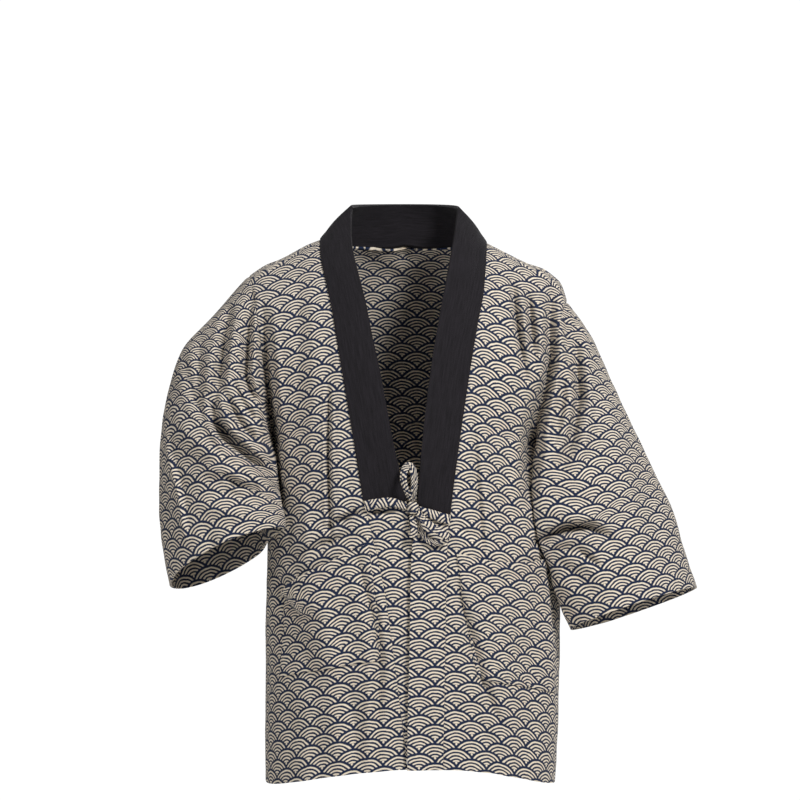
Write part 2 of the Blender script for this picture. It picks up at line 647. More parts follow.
# Each row: places (x, z) in mm, half width, depth. A minus depth is a ridge.
FOLDS = {
    "front": [
        # right shoulder and armhole
        ([(-184, -100), (-181, -150), (-176, -212), (-170, -290), (-164, -345)], 7, 12),
        ([(-174, -212), (-170, -260), (-164, -312), (-160, -346)], 9, 5),
        ([(-199, -78), (-203, -130), (-206, -180), (-196, -206), (-180, -222)], 5, 11),
        ([(-230, -96), (-234, -130), (-239, -180), (-246, -222)], 6, 12),
        ([(-218, -84), (-223, -130), (-226, -180)], 7, -3.5),
        ([(-196, -70), (-193, -130), (-190, -190)], 4.5, -3.5),
        ([(-268, -136), (-268, -180), (-262, -222)], 6, 7.5),
        ([(-286, -160), (-276, -204), (-254, -240)], 6, 6),
        ([(-140, -48), (-136, -150), (-140, -250)], 12, 2.4),
        ([(-122, -40), (-118, -150), (-120, -330)], 9, -1.6),
        # crook of the right elbow
        ([(-252, -206), (-240, -238), (-228, -258), (-206, -278), (-182, -298), (-160, -328)], 6, 18),
        ([(-248, -238), (-234, -253), (-220, -262)], 5, 9),
        ([(-232, -200), (-220, -224), (-206, -248), (-184, -270)], 5, 8),
        ([(-252, -204), (-236, -232), (-215, -258)], 6, -4),
        ([(-218, -196), (-206, -218), (-192, -240)], 4.5, 5),
        ([(-300, -222), (-278, -258), (-240, -286), (-200, -304), (-176, -318)], 12, -6),
        ([(-276, -312), (-248, -300), (-226, -301), (-206, -312)], 6.5, -4.5),
        ([(-226, -308), (-214, -316), (-200, -322)], 4, 8),
        ([(-244, -330), (-214, -334), (-184, -328)], 9, 4),
        ([(-262, -344), (-226, -352), (-190, -352)], 9, -3),
        ([(-312, -238), (-308, -280), (-292, -330), (-280, -386)], 3.6, -5.5),
        ([(-322, -262), (-319, -310), (-306, -360), (-296, -410)], 9, 6),
        ([(-256, -366), (-246, -396), (-240, -424)], 10, 3.2),
        # right chest and below the collar
        ([(-99, -196), (-98, -290), (-95, -394)], 2.8, 7),
        ([(-86, -210), (-85, -300), (-84, -392)], 6, -1.6),
        ([(-56, -350), (-78, -362), (-100, -374)], 4.2, 9),
        ([(-54, -354), (-36, -351), (-16, -350)], 3.4, 6),
        ([(-50, -366), (-68, -382), (-92, -392)], 6, -2.2),
        ([(-152, -320), (-146, -372), (-152, -424)], 9, 3.6),
        ([(-130, -330), (-124, -380), (-128, -420)], 9, -2),
        # right pocket and skirt
        ([(-172, -422), (-162, -446), (-148, -468), (-132, -482), (-112, -490)], 8, 9.5),
        ([(-150, -486), (-128, -520), (-118, -570)], 12, 4),
        ([(-108, -450), (-96, -520), (-84, -560)], 13, -3),
        ([(-62, -405), (-50, -450), (-40, -486), (-33, -540), (-35, -600), (-38, -662)], 6, 7.5),
        ([(-160, -436), (-154, -500), (-142, -566)], 20, 8),
        ([(-62, -380), (-102, -393), (-148, -418)], 6, 6),
        ([(-74, -560), (-66, -610), (-62, -668)], 12, 4),
        ([(-46, -590), (-44, -630), (-50, -672)], 9, -2.4),
        ([(-110, -590), (-116, -640), (-104, -690)], 14, 3.2),
        ([(-152, -570), (-146, -630), (-150, -700)], 11, 3),
        ([(-16, -520), (-12, -590), (-14, -660)], 9, 2.2),
        # left shoulder and armhole
        ([(137, -58), (139, -92), (145, -138), (152, -186)], 3.8, 9),
        ([(156, -70), (160, -110), (162, -150)], 3.8, 8),
        ([(148, -66), (150, -104), (153, -150)], 4.5, -2.6),
        ([(190, -70), (184, -110), (184, -160), (180, -196), (170, -236)], 5.5, 12),
        ([(174, -62), (174, -104), (170, -150), (164, -196)], 6, -3.6),
        ([(206, -98), (208, -136), (210, -178)], 4.2, 6.5),
        ([(198, -86), (198, -136), (196, -180)], 4, -2.6),
        ([(217, -116), (220, -165), (222, -208), (212, -262), (196, -300)], 6.5, 16),
        ([(172, -196), (163, -240), (156, -290), (154, -340)], 8, 15),
        ([(202, -190), (197, -226), (188, -262)], 6, 5),
        ([(186, -230), (180, -268), (178, -300)], 6, -3),
        # left sleeve
        ([(164, -396), (184, -383), (206, -375), (232, -373), (254, -385)], 5.5, 15),
        ([(182, -396), (204, -402), (226, -408), (246, -420)], 6, 3),
        ([(180, -352), (206, -356), (240, -362)], 8, -3.4),
        ([(218, -400), (232, -412), (244, -424)], 3.6, 4.5),
        ([(178, -398), (206, -428), (232, -450)], 10, 3.4),
        ([(238, -214), (240, -262), (228, -306)], 9, 3.6),
        ([(258, -206), (276, -292), (300, -376)], 14, -3),
        ([(284, -240), (306, -330), (332, -420)], 11, 3.4),
        ([(244, -340), (262, -410), (282, -470)], 12, 2.6),
        # left chest and below the collar
        ([(84, -214), (88, -300), (93, -360), (97, -416)], 2.8, 3.8),
        ([(96, -230), (99, -310), (106, -400)], 6, -1.8),
        ([(112, -62), (106, -180), (112, -300)], 12, 2.4),
        ([(128, -260), (126, -320), (130, -380)], 9, 3),
        ([(60, -368), (78, -380), (98, -386)], 4.2, 2.8),
        # left skirt
        ([(62, -440), (78, -494), (94, -560), (108, -598), (126, -632)], 5.5, 6),
        ([(76, -440), (96, -500), (116, -566)], 8, -2.6),
        ([(46, -470), (50, -540), (60, -600)], 9, 2),
        ([(120, -440), (136, -500), (146, -560)], 12, 3.4),
        ([(166, -450), (158, -540), (162, -640)], 18, 7),
        ([(104, -622), (112, -660), (110, -704)], 9, 3),
        ([(140, -600), (148, -650), (146, -704)], 10, 3),
        ([(28, -600), (24, -640), (30, -676)], 9, 1.8),
    ],
    "back": [
        ([(-192, -70), (-184, -140), (-176, -220), (-166, -310)], 8, 11),
        ([(188, -100), (182, -160), (174, -240), (162, -330)], 8, 11),
        ([(-216, -90), (-222, -160), (-226, -230)], 8, 6),
        ([(-246, -120), (-256, -200), (-252, -270)], 9, 6),
        ([(-300, -240), (-262, -282), (-214, -322)], 9, 9),
        ([(-304, -280), (-272, -312), (-226, -346)], 10, -4),
        ([(-296, -320), (-262, -352), (-222, -368)], 9, 5),
        ([(-284, -360), (-270, -400), (-262, -436)], 10, 3.4),
        ([(212, -140), (216, -220), (228, -300)], 8, 7),
        ([(236, -150), (252, -240), (272, -330)], 11, 4.6),
        ([(214, -340), (240, -392), (270, -430)], 8, 5.5),
        ([(276, -240), (302, -330), (326, -420)], 12, 4),
        ([(232, -420), (248, -456), (262, -494)], 10, 3),
        ([(-128, -110), (-112, -250), (-98, -420), (-92, -620)], 15, 9),
        ([(-150, -300), (-142, -430), (-146, -600)], 12, 4.5),
        ([(120, -130), (112, -280), (116, -440), (126, -650)], 15, 8.5),
        ([(156, -340), (160, -470), (158, -640)], 12, 4.5),
        ([(26, -240), (16, -430), (6, -700)], 17, 7),
        ([(-44, -380), (-40, -540), (-48, -700)], 14, 5),
        ([(68, -360), (64, -540), (72, -700)], 14, 5),
        ([(-14, -420), (-16, -560), (-20, -700)], 11, -3),
        ([(-70, -16), (-88, -70), (-100, -140)], 10, 3.6),
        ([(72, -16), (88, -70), (96, -140)], 10, 3.6),
        ([(-40, -14), (0, -34), (42, -14)], 10, 2.6),
        ([(-152, -318), (-118, -346), (-76, -352)], 9, 3.4),
        ([(152, -350), (112, -372), (66, -372)], 9, 3.2),
    ],
}
print("hand-placed folds:", {face: len(rows) for face, rows in FOLDS.items()})


# %% How a fold sinks the cloth
def fold_depth(face, grid):
    """How deep the hand-placed folds sink each point of a grid, with the cloth raised beside them."""
    x, z = grid[..., 0], grid[..., 2]
    depth = np.zeros(x.shape)
    for places, wide, deep in FOLDS[face]:
        nearest = np.full(x.shape, 1e9)
        share = np.zeros(x.shape)
        count = len(places) - 1
        for k in range(count):
            (x0, z0), (x1, z1) = places[k], places[k + 1]
            span = np.array([x1 - x0, z1 - z0], float)
            t = np.clip(((x - x0) * span[0] + (z - z0) * span[1]) / (span @ span), 0, 1)
            away = np.hypot(x - x0 - t * span[0], z - z0 - t * span[1])
            closer = away < nearest
            nearest = np.where(closer, away, nearest)
            share = np.where(closer, (k + t) / count, share)
        taper = np.sin(math.pi * np.clip(0.06 + 0.88 * share, 0, 1)) ** 0.7
        across = nearest / wide
        shape = np.exp(-(across**1.35)) - 0.24 * np.exp(-(((across - 2.1) / 0.8) ** 2))
        depth += FOLD_GAIN * deep * taper * shape
    return depth


deepest = max(float(fold_depth("front", GRIDS[f"front_{side}"]).max()) for side in SIDES)
print("deepest fold on the fronts:", round(deepest, 1), "mm")

# %% [markdown]
# ## Softness and seams
# Thin wadding makes the cloth swell a little between its folds, and a sewn seam draws it in along a
# narrow groove. Both are small moves of the same points along their normals: a sum of slow waves with
# lengths that don't match, so that no rhythm shows, and a groove that fades within a few millimetres.

# %% Swell of the wadding
SWELLS = [(0.021, 0.013, 0.017, 0.55), (-0.017, 0.026, 0.011, 0.45), (0.041, -0.033, 0.037, 0.28),
          (-0.053, 0.047, 0.061, 0.2), (0.083, 0.071, -0.09, 0.12)]
SWELL_GAIN = 1.6


def swell(points):
    """How far the wadding lifts each point: slow waves whose lengths don't match."""
    total = np.zeros(points.shape[:-1])
    for k, (a, b, c, high) in enumerate(SWELLS):
        phase = 1.7 * k
        total += high * np.sin(a * points[..., 0] + b * points[..., 1] + c * points[..., 2] + phase) \
            * np.sin(b * points[..., 0] - c * points[..., 1] + a * points[..., 2] * 1.3 - phase)
    return total * SWELL_GAIN


print("swell over the back, mm:", round(float(np.ptp(swell(GRIDS["back"]))), 2))

# %% Soften a grid
GROOVE_DEEP = 1.3
GROOVE_WIDE = 2.4
EDGE_STILL = 20
SIDE_FADE = 26


def soften(grid, inside, seams, fronting=None, facing=None, still=()):
    """Sinks the folds along the line of sight, swells the cloth, and draws in its sewn edges."""
    edges = {
        "first": edge_distance(grid, 1, "start"), "last": edge_distance(grid, 1, "end"),
        "low": edge_distance(grid, 0, "start"), "high": edge_distance(grid, 0, "end"),
    }
    normals = grid_normals(grid, inside)
    keep = np.ones(grid.shape[:2])
    groove = np.zeros(grid.shape[:2])
    for edge in seams:
        keep = keep * ease(edges[edge] / EDGE_STILL)
        groove += GROOVE_DEEP * np.exp(-((edges[edge] / GROOVE_WIDE) ** 2))
    fronting = np.ones(keep.shape, bool) if fronting is None else fronting
    facing = np.abs(grid[..., 1]) if facing is None else facing
    fade = ease(facing / SIDE_FADE)
    for edge in still:
        fade = fade * ease(edges[edge] / 14)
    sink = np.where(fronting, fold_depth("front", grid), -fold_depth("back", grid)) * fade
    moved = grid + normals * (swell(grid) * keep - groove)[..., None]
    moved[..., 1] += sink
    return moved


def inside_body(grid):
    """Points inside the coat's body, to tell which way its cloth faces."""
    inside = np.zeros_like(grid)
    inside[..., 2] = np.minimum(grid[..., 2], -60)
    return inside


def inside_sleeve(grid):
    """Points inside a sleeve: the middle of each ring."""
    return np.broadcast_to(grid.mean(axis=1, keepdims=True), grid.shape)


print("a seam draws the cloth in by", GROOVE_DEEP, "mm")

# %% Soften every panel
SMOOTH = {name: grid.copy() for name, grid in GRIDS.items()}
for side in SIDES:
    front = GRIDS[f"front_{side}"]
    GRIDS[f"front_{side}"] = soften(front, inside_body(front), ("first", "last", "high"), still=("first",))
    band = GRIDS[f"band_{side}"]
    GRIDS[f"band_{side}"] = soften(band, inside_body(band), ("first", "high"), still=("first", "high"))
    sleeve = GRIDS[f"sleeve_{side}"]
    fronting = np.broadcast_to(np.arange(sleeve.shape[1]) <= sleeve.shape[1] // 2, sleeve.shape[:2])
    turn = np.linspace(-0.5, 1.5, sleeve.shape[1]) * math.pi
    ring = dict(zip(RING_COLUMNS, SLEEVE_RINGS[side][0]))
    deep = np.where(turn <= math.pi / 2, ring["front"], ring["back"])
    facing = np.broadcast_to(deep * np.abs(np.cos(turn)), sleeve.shape[:2])
    GRIDS[f"sleeve_{side}"] = soften(sleeve, inside_sleeve(sleeve), ("low",), fronting, facing)
back = GRIDS["back"]
fronting = np.zeros(back.shape[:2], bool)
GRIDS["back"] = soften(back, inside_body(back), ("first", "last", "high"), fronting, still=("high",))
print("softened:", ", ".join(sorted(GRIDS)))

# %% [markdown]
# ## Making a sheet
# `bmesh.ops.create_grid` gives a flat net with the right number of squares. Every point of the net is
# then moved to its place on the form, which is how a tailor sees cloth: a flat piece that takes a shape.
# The UV map keeps the cloth's own millimetres, so that a print lies on it undistorted. Solidify gives
# the sheet its thickness, inwards, and a small bevel turns the cut edge into a soft one.


# %% Coordinates and seam gaps
def cloth_coordinates(grid, turned=1, shift=(0, 0)):
    """Millimetres across each row from its start, and up each column from the first row."""
    across = edge_distance(grid, 1, "start") * turned + shift[0]
    return [(0, across, edge_distance(grid, 0, "start") + shift[1])]


def draw_back(grid, gap=0.15, edges=("first", "last", "low", "high")):
    """Leaves half a seam's gap at each edge."""
    grid = grid.copy()
    ends = {
        "first": ((slice(None), 0), (slice(None), 1)), "last": ((slice(None), -1), (slice(None), -2)),
        "low": ((0,), (1,)), "high": ((-1,), (-2,)),
    }
    for edge in edges:
        at, beside = ends[edge]
        step = grid[beside] - grid[at]
        length = np.linalg.norm(step, axis=-1, keepdims=True)
        grid[at] = grid[at] + step / np.maximum(length, 1e-6) * np.minimum(gap, length * 0.6)
    return grid


print("the collar's strip is", round(float(cloth_coordinates(GRIDS["collar"])[0][1].max())), "mm wide")


# %% Sheet maker
SHARP_EDGE = 55


def sheet_object(name, grid, coordinates, thickness, material, inside, closed=False, bevel=0.7):
    """One sheet of cloth from a grid of points in mm. Each row of `coordinates` is a stretch of the
    print: the column where it starts, then the places across and up of every point."""
    rows, columns = grid.shape[:2]
    mesh = bpy.data.meshes.new(name)
    net = bmesh.new()
    bmesh.ops.create_grid(net, x_segments=columns - 1, y_segments=rows - 1, size=1)
    uv_layer = net.loops.layers.uv.new("cloth")
    places = {}
    for vertex in net.verts:
        i = round((vertex.co.x + 1) / 2 * (columns - 1))
        j = round((vertex.co.y + 1) / 2 * (rows - 1))
        places[vertex] = (j, i)
    for face in net.faces:
        first = min(places[loop.vert][1] for loop in face.loops)
        across, up = [part[1:] for part in coordinates if part[0] <= first][-1]
        for loop in face.loops:
            j, i = places[loop.vert]
            loop[uv_layer].uv = (across[j, i] * MM, up[j, i] * MM)
    for vertex, (j, i) in places.items():
        vertex.co = grid[j, i] * MM
    if closed:
        bmesh.ops.remove_doubles(net, verts=net.verts, dist=0.02 * MM)
    if not faces_outwards(grid, inside):
        bmesh.ops.reverse_faces(net, faces=net.faces)
    for face in net.faces:
        face.smooth = True
    net.to_mesh(mesh)
    net.free()
    mesh.materials.append(material)
    piece = bpy.data.objects.new(name, mesh)
    bpy.context.scene.collection.objects.link(piece)
    soft_wall(piece, thickness, bevel)
    return piece


def soft_wall(piece, thickness, bevel):
    """Gives a sheet its thickness, inwards, and rounds its cut edge."""
    wall = piece.modifiers.new("wall", "SOLIDIFY")
    wall.thickness = thickness * MM
    wall.offset = -1
    wall.use_even_offset = False
    edge = piece.modifiers.new("soft edge", "BEVEL")
    edge.width = bevel * MM
    edge.segments = 2
    edge.limit_method = "ANGLE"
    edge.angle_limit = math.radians(SHARP_EDGE)


print("edges sharper than", SHARP_EDGE, "degrees are softened")


# %% [markdown]
# ## Materials
# The coat is of two cottons. The print is seigaiha, the old wave-scale pattern: rows of fans, each row
# half a step aside and lapped over the one above, drawn as cream arcs on navy with a small drop in the
# middle. An image could hold it, but nodes give the same drawing at any size: two candidate fans are
# measured for each point, the lower row wins where it reaches, and the distance picks line or ground.

# %% Colours, and one function to add a node
MATH = "ShaderNodeMath"
VECTOR = "ShaderNodeVectorMath"
MIX = "ShaderNodeMix"
NOISE = "ShaderNodeTexNoise"


def linear(hex_colour):
    """An sRGB hex colour as the linear values that shaders use."""
    values = [int(hex_colour[k:k + 2], 16) / 255 for k in (1, 3, 5)]
    return tuple(v / 12.92 if v <= 0.04045 else ((v + 0.055) / 1.055) ** 2.4 for v in values) + (1.0,)


def add(tree, kind, inputs=(), **settings):
    """Adds a node, sets its properties, and fills or links its inputs, given by name or in order."""
    node = tree.nodes.new(kind)
    for name, value in settings.items():
        setattr(node, name, value)
    for key, value in inputs.items() if isinstance(inputs, dict) else enumerate(inputs):
        socket = node.inputs[key]
        if isinstance(value, bpy.types.Node):
            value = value.outputs[0]
        if isinstance(value, bpy.types.NodeSocket):
            tree.links.new(value, socket)
        else:
            socket.default_value = value
    return node


def new_material(name):
    """An empty material, and its node tree."""
    material = bpy.data.materials.new(name)
    material.use_nodes = True
    tree = material.node_tree
    tree.nodes.clear()
    return material, tree


print("mid grey in linear light:", round(linear("#808080")[0], 3))

# %% [markdown]
# ### Printed cotton
# A slubby plain-weave cotton: matt, a little uneven in thread and dye, with no shine. The sizes below are
# those of the real print in millimetres. Its threads are 0.5 mm apart, too fine for the picture, so the
# weave is drawn at 1.1 mm. Lines of a hand-cut stencil waver a little, which a slow noise gives.

# %% Wave-scale print on slub cotton
FAN_WIDTH = 40.3
FAN_RISE = 12.0
FAN_SPREAD = 1.09
FAN_EDGE = 23.2
ARC_RADII = (19.4, 15.2, 11.0, 6.9)
ARC_HALF_WIDTH = 1.0
DROP_HEIGHT = 3.4
DROP_HALF_WIDTH = 1.5
DROP_TAPER = 0.35
PRINT_WEAVE = 1.1
CREAM = "#F4E9D8"
CREAM_WORN = "#DDCEB5"
NAVY = "#0F1C36"
NAVY_FADED = "#1A2947"


def wave_distance(tree, x, height, offset):
    """Distance of each point from the centre of the nearest fan of one row, and its place across."""
    moved = add(tree, MATH, (x, offset), operation="ADD")
    step = add(tree, MATH, (moved, FAN_WIDTH), operation="FLOORED_MODULO")
    across = add(tree, MATH, (step, FAN_WIDTH / 2), operation="SUBTRACT")
    narrow = add(tree, MATH, (across, FAN_SPREAD), operation="DIVIDE")
    return length_of(tree, narrow, height), across


def length_of(tree, x, y):
    """The length of an arrow with these two sides: the root of the sum of their squares."""
    sides = add(tree, "ShaderNodeCombineXYZ", (x, y))
    return add(tree, VECTOR, (sides,), operation="LENGTH").outputs["Value"]


def woven_height(tree, in_mm, spacing, slub):
    """The height of a plain weave: two sets of threads at right angles, with slubs in them."""
    threads = []
    for direction in ("X", "Y"):
        waves = add(tree, "ShaderNodeTexWave", {
            "Vector": in_mm, "Scale": 0.314 / spacing, "Distortion": 1.5, "Detail": 1.0, "Detail Scale": 0.6,
        }, bands_direction=direction)
        threads.append(waves.outputs[1])
    highest = add(tree, MATH, threads, operation="MAXIMUM")
    return add(tree, MATH, (slub, 1.2, highest), operation="MULTIPLY_ADD")


# %% The drawing of the fans
def fan_drawing(tree, x, y):
    """Says how far each point lies inside a printed line, in mm: more than 0 is cream, less is navy."""
    rows_up = add(tree, MATH, (y, FAN_RISE), operation="DIVIDE")
    row = add(tree, MATH, (rows_up,), operation="FLOOR")
    part = add(tree, MATH, (rows_up, row), operation="SUBTRACT")
    above = add(tree, MATH, (part, FAN_RISE), operation="MULTIPLY")
    odd = add(tree, MATH, (row, 2.0), operation="FLOORED_MODULO")
    own_offset = add(tree, MATH, (odd, FAN_WIDTH / 2, FAN_WIDTH / 2), operation="MULTIPLY_ADD")
    low_offset = add(tree, MATH, (odd, -FAN_WIDTH / 2, FAN_WIDTH), operation="MULTIPLY_ADD")
    low_height = add(tree, MATH, (above, FAN_RISE), operation="ADD")
    own, own_across = wave_distance(tree, x, above, own_offset)
    low, low_across = wave_distance(tree, x, low_height, low_offset)

    # The lower row's fan laps over this row's wherever it reaches
    lapped = add(tree, MATH, (low, FAN_EDGE), operation="LESS_THAN")
    distance = add(tree, MIX, {0: lapped, 2: own, 3: low})
    across = add(tree, MIX, {0: lapped, 2: own_across, 3: low_across})
    height = add(tree, MIX, {0: lapped, 2: above, 3: low_height})

    # Arcs
    nearest = None
    for radius in ARC_RADII:
        past = add(tree, MATH, (distance, radius), operation="SUBTRACT")
        off = add(tree, MATH, (past,), operation="ABSOLUTE")
        nearest = off if nearest is None else add(tree, MATH, (nearest, off), operation="MINIMUM")
    arc = add(tree, MATH, (ARC_HALF_WIDTH, nearest), operation="SUBTRACT")

    # The drop in the middle, wider at its top
    drop_up = add(tree, MATH, (height, DROP_HEIGHT), operation="SUBTRACT")
    drop_far = length_of(tree, across, drop_up)
    round_drop = add(tree, MATH, (DROP_HALF_WIDTH, drop_far), operation="SUBTRACT")
    drop = add(tree, MATH, (drop_up, DROP_TAPER, round_drop), operation="MULTIPLY_ADD")

    # Where this row's fan is cut off by the lower row's edge
    past_edge = add(tree, MATH, (low, FAN_EDGE + 0.25), operation="SUBTRACT")
    whole = add(tree, MATH, (lapped, 100.0), operation="MULTIPLY")
    room = add(tree, MATH, (past_edge, whole), operation="MAXIMUM")
    drawn = add(tree, MATH, (arc, drop), operation="MAXIMUM")
    return add(tree, MATH, (drawn, room, 1.1), operation="SMOOTH_MIN")


print("arcs in a fan:", len(ARC_RADII))


# %% Printed slub cotton
def printed_cotton():
    """Cream cotton with navy ground: matt, slubby, softly worn."""
    material, tree = new_material("printed_slub_cotton")
    cloth = add(tree, "ShaderNodeUVMap", uv_map="cloth")
    in_mm = add(tree, VECTOR, (cloth, (1000, 1000, 1000)), operation="MULTIPLY")

    # The stencil's lines waver by up to a millimetre
    waver = add(tree, NOISE, {"Vector": in_mm, "Scale": 0.12, "Detail": 2.0}).outputs["Color"]
    either_way = add(tree, VECTOR, (waver, (0.5, 0.5, 0.5)), operation="SUBTRACT")
    shift = add(tree, VECTOR, (either_way, (2.0, 2.0, 0)), operation="MULTIPLY")
    place = add(tree, VECTOR, (in_mm, shift), operation="ADD")
    parts = add(tree, "ShaderNodeSeparateXYZ", (place,))
    ink = fan_drawing(tree, parts.outputs["X"], parts.outputs["Y"])

    # The paste's edge frays between the threads
    fray = add(tree, NOISE, {"Vector": in_mm, "Scale": 1.1, "Detail": 2.0})
    either_side = add(tree, MATH, (fray, 0.5), operation="SUBTRACT")
    frayed = add(tree, MATH, (either_side, 0.55, ink), operation="MULTIPLY_ADD")
    edge = add(tree, MATH, (frayed, 1.6, 0.5), operation="MULTIPLY_ADD")
    mask = add(tree, "ShaderNodeClamp", (edge,))

    # Dye that is uneven in patches, and along each thread
    patch = add(tree, NOISE, {"Vector": in_mm, "Scale": 0.03, "Detail": 4.0})
    along = add(tree, VECTOR, (in_mm, (0.25, 1.4, 1)), operation="MULTIPLY")
    slub = add(tree, NOISE, {"Vector": along, "Scale": 0.7, "Detail": 3.0})
    both = add(tree, MATH, (patch, slub), operation="ADD")
    uneven = add(tree, MATH, (both, 0.5), operation="MULTIPLY")
    cream = add(tree, MIX, {0: uneven, 6: linear(CREAM), 7: linear(CREAM_WORN)}, data_type="RGBA")
    navy = add(tree, MIX, {0: uneven, 6: linear(NAVY), 7: linear(NAVY_FADED)}, data_type="RGBA")
    colour = add(tree, MIX, {0: mask, 6: navy.outputs[2], 7: cream.outputs[2]}, data_type="RGBA")

    weave = woven_height(tree, in_mm, PRINT_WEAVE, slub)
    bump = add(tree, "ShaderNodeBump", {"Strength": 0.35, "Distance": 0.4 * MM, "Height": weave})
    shader = add(tree, "ShaderNodeBsdfPrincipled", {
        "Base Color": colour.outputs[2], "Roughness": 0.92, "Specular IOR Level": 0.25,
        "Sheen Weight": 0.06, "Sheen Roughness": 0.6, "Normal": bump})
    add(tree, "ShaderNodeOutputMaterial", (shader,))
    return material


PRINT = printed_cotton()
print("printed cotton:", len(PRINT.node_tree.nodes), "nodes")

# %% [markdown]
# ### Black collar cotton
# The collar is a plain black cotton with a faint upright streak in its weave, quite matt. Its colour is
# a warm near-black. The streaks come from a noise stretched along the strip, at a few millimetres.

# %% Black cotton
BLACK = "#0C0A0D"
BLACK_STREAK = "#2C282E"
COLLAR_WEAVE = 0.9


def black_cotton():
    """Black cotton, matt, with upright streaks in its weave."""
    material, tree = new_material("black_plain_cotton")
    cloth = add(tree, "ShaderNodeUVMap", uv_map="cloth")
    in_mm = add(tree, VECTOR, (cloth, (1000, 1000, 1000)), operation="MULTIPLY")
    long = add(tree, VECTOR, (in_mm, (1, 0.06, 1)), operation="MULTIPLY")
    streak = add(tree, NOISE, {"Vector": long, "Scale": 0.55, "Detail": 4.0, "Roughness": 0.7})
    speck = add(tree, NOISE, {"Vector": in_mm, "Scale": 0.9, "Detail": 3.0})
    specks = add(tree, MATH, (speck, 0.35), operation="MULTIPLY")
    both = add(tree, MATH, (streak, 0.65, specks), operation="MULTIPLY_ADD")
    strong = add(tree, MATH, (both, 2.4, -0.78), operation="MULTIPLY_ADD")
    colour = add(tree, MIX, {0: strong, 6: linear(BLACK), 7: linear(BLACK_STREAK)}, data_type="RGBA")
    weave = woven_height(tree, in_mm, COLLAR_WEAVE, streak)
    bump = add(tree, "ShaderNodeBump", {"Strength": 0.6, "Distance": 0.6 * MM, "Height": weave})
    shader = add(tree, "ShaderNodeBsdfPrincipled", {
        "Base Color": colour.outputs[2], "Roughness": 0.9, "Specular IOR Level": 0.25,
        "Sheen Weight": 0.03, "Sheen Roughness": 0.5, "Normal": bump})
    add(tree, "ShaderNodeOutputMaterial", (shader,))
    return material


BLACK_CLOTH = black_cotton()
print("black cotton:", len(BLACK_CLOTH.node_tree.nodes), "nodes")

# %% [markdown]
# ## The panels
# Each panel's print starts from its own place, because each was cut from the cloth on its own: the fans
# stand upright, their rows follow the hem or the cuff, and at a seam the pattern jumps. On the fronts the
# columns of fans hang straight down, so x along the section gives the place across.

# %% Print on the body panels
PRINT_FOLLOWS = 0.5
PRINT_SHIFT = {
    "front_right": (9.0, 4.0), "front_left": (-3.0, 7.0), "back": (5.0, 2.0),
    "sleeve_right": (12.0, 3.0), "sleeve_left": (-8.0, 6.0),
    "band_right": (17.0, 9.5), "band_left": (24.0, 1.0),
}


def hanging_coordinates(name, grid):
    """Print coordinates of a body panel: across from the coat's middle plane, up from the hem."""
    slope = SLOPES[name] if name in SLOPES else np.zeros(grid.shape[:2])
    row_step = np.diff(grid, axis=1)
    level = row_step[..., 1] - row_step[..., 2] * (slope[:, 1:] + slope[:, :-1]) / 2
    across = np.cumsum(np.pad(np.hypot(row_step[..., 0], level), [(0, 0), (1, 0)]), axis=1)
    column = 0 if name != "back" else int(np.argmin(np.abs(grid[0, :, 0])))
    turned = 1 if grid[0, -1, 0] > grid[0, 0, 0] else -1
    across = turned * (across - across[:, column:column + 1]) + grid[:, column:column + 1, 0] * 1.02
    steep = np.sqrt(1 + ((slope[1:] + slope[:-1]) / 2) ** 2)
    up = np.cumsum(np.pad(np.diff(grid[..., 2], axis=0) * steep, [(1, 0), (0, 0)]), axis=0)
    level_out = 0.5 * (grid[0, :, 2] - grid[0, column, 2])[None, :] * np.linspace(0, 1, len(grid))[:, None]
    return [(0, across + PRINT_SHIFT[name][0], up + level_out + PRINT_SHIFT[name][1])]


print("panels with a place of their own in the print:", len(PRINT_SHIFT))

# %% [markdown]
# ### Print on the sleeves
# A sleeve is a tube, and a tube that tapers and bends can't be laid flat whole. So it is laid out as two
# halves that meet along its far edge, front and back, each measured from a line up its middle. The rows of
# fans slope from the armhole to the cuff as the cloth does, by an angle for each ring.

# %% Lay out a sleeve's halves
# How the rows of fans slope on the front of each sleeve, in degrees, ring by ring
ROW_SLOPES = {"right": [14, 2, -8, -2, 8, 16, 20], "left": [4, 0, 3, 8, 11, 13, 15]}


def flat_half(points, side):
    """Print coordinates of half a sleeve, from its inner line to its far edge, laid nearly flat."""
    slopes = np.radians(read_curve(list(enumerate(ROW_SLOPES[side])), np.linspace(0, 6, len(points))))
    pivot = points.shape[1] * 2 // 5
    middle = points[:, pivot]
    arc = edge_distance(points, 1, "start")
    arc = arc - arc[:, pivot][:, None]
    step = np.diff(middle, axis=0)
    length = np.linalg.norm(step, axis=1)
    heading = np.arctan2(step[:, 2], step[:, 0]) - (slopes[1:] + slopes[:-1]) / 2
    mid_u = np.concatenate([[0], np.cumsum(length * np.cos(heading))])
    mid_v = np.concatenate([[0], np.cumsum(length * np.sin(heading))])
    toward = OUT[side] * (points[:, -1] - points[:, 0])
    lean = np.arctan2(toward[:, 2], toward[:, 0])[:, None]
    away = OUT[side] * np.sign(arc)[..., None] * (points - middle[:, None])
    angle = mix(lean, np.arctan2(away[..., 2], away[..., 0]), ease((np.abs(arc) - 12) / 30)) - slopes[:, None]
    across = (mid_u - mid_u[-1])[:, None] + OUT[side] * arc * np.cos(angle)
    return across, (mid_v - mid_v[-1])[:, None] + OUT[side] * arc * np.sin(angle)


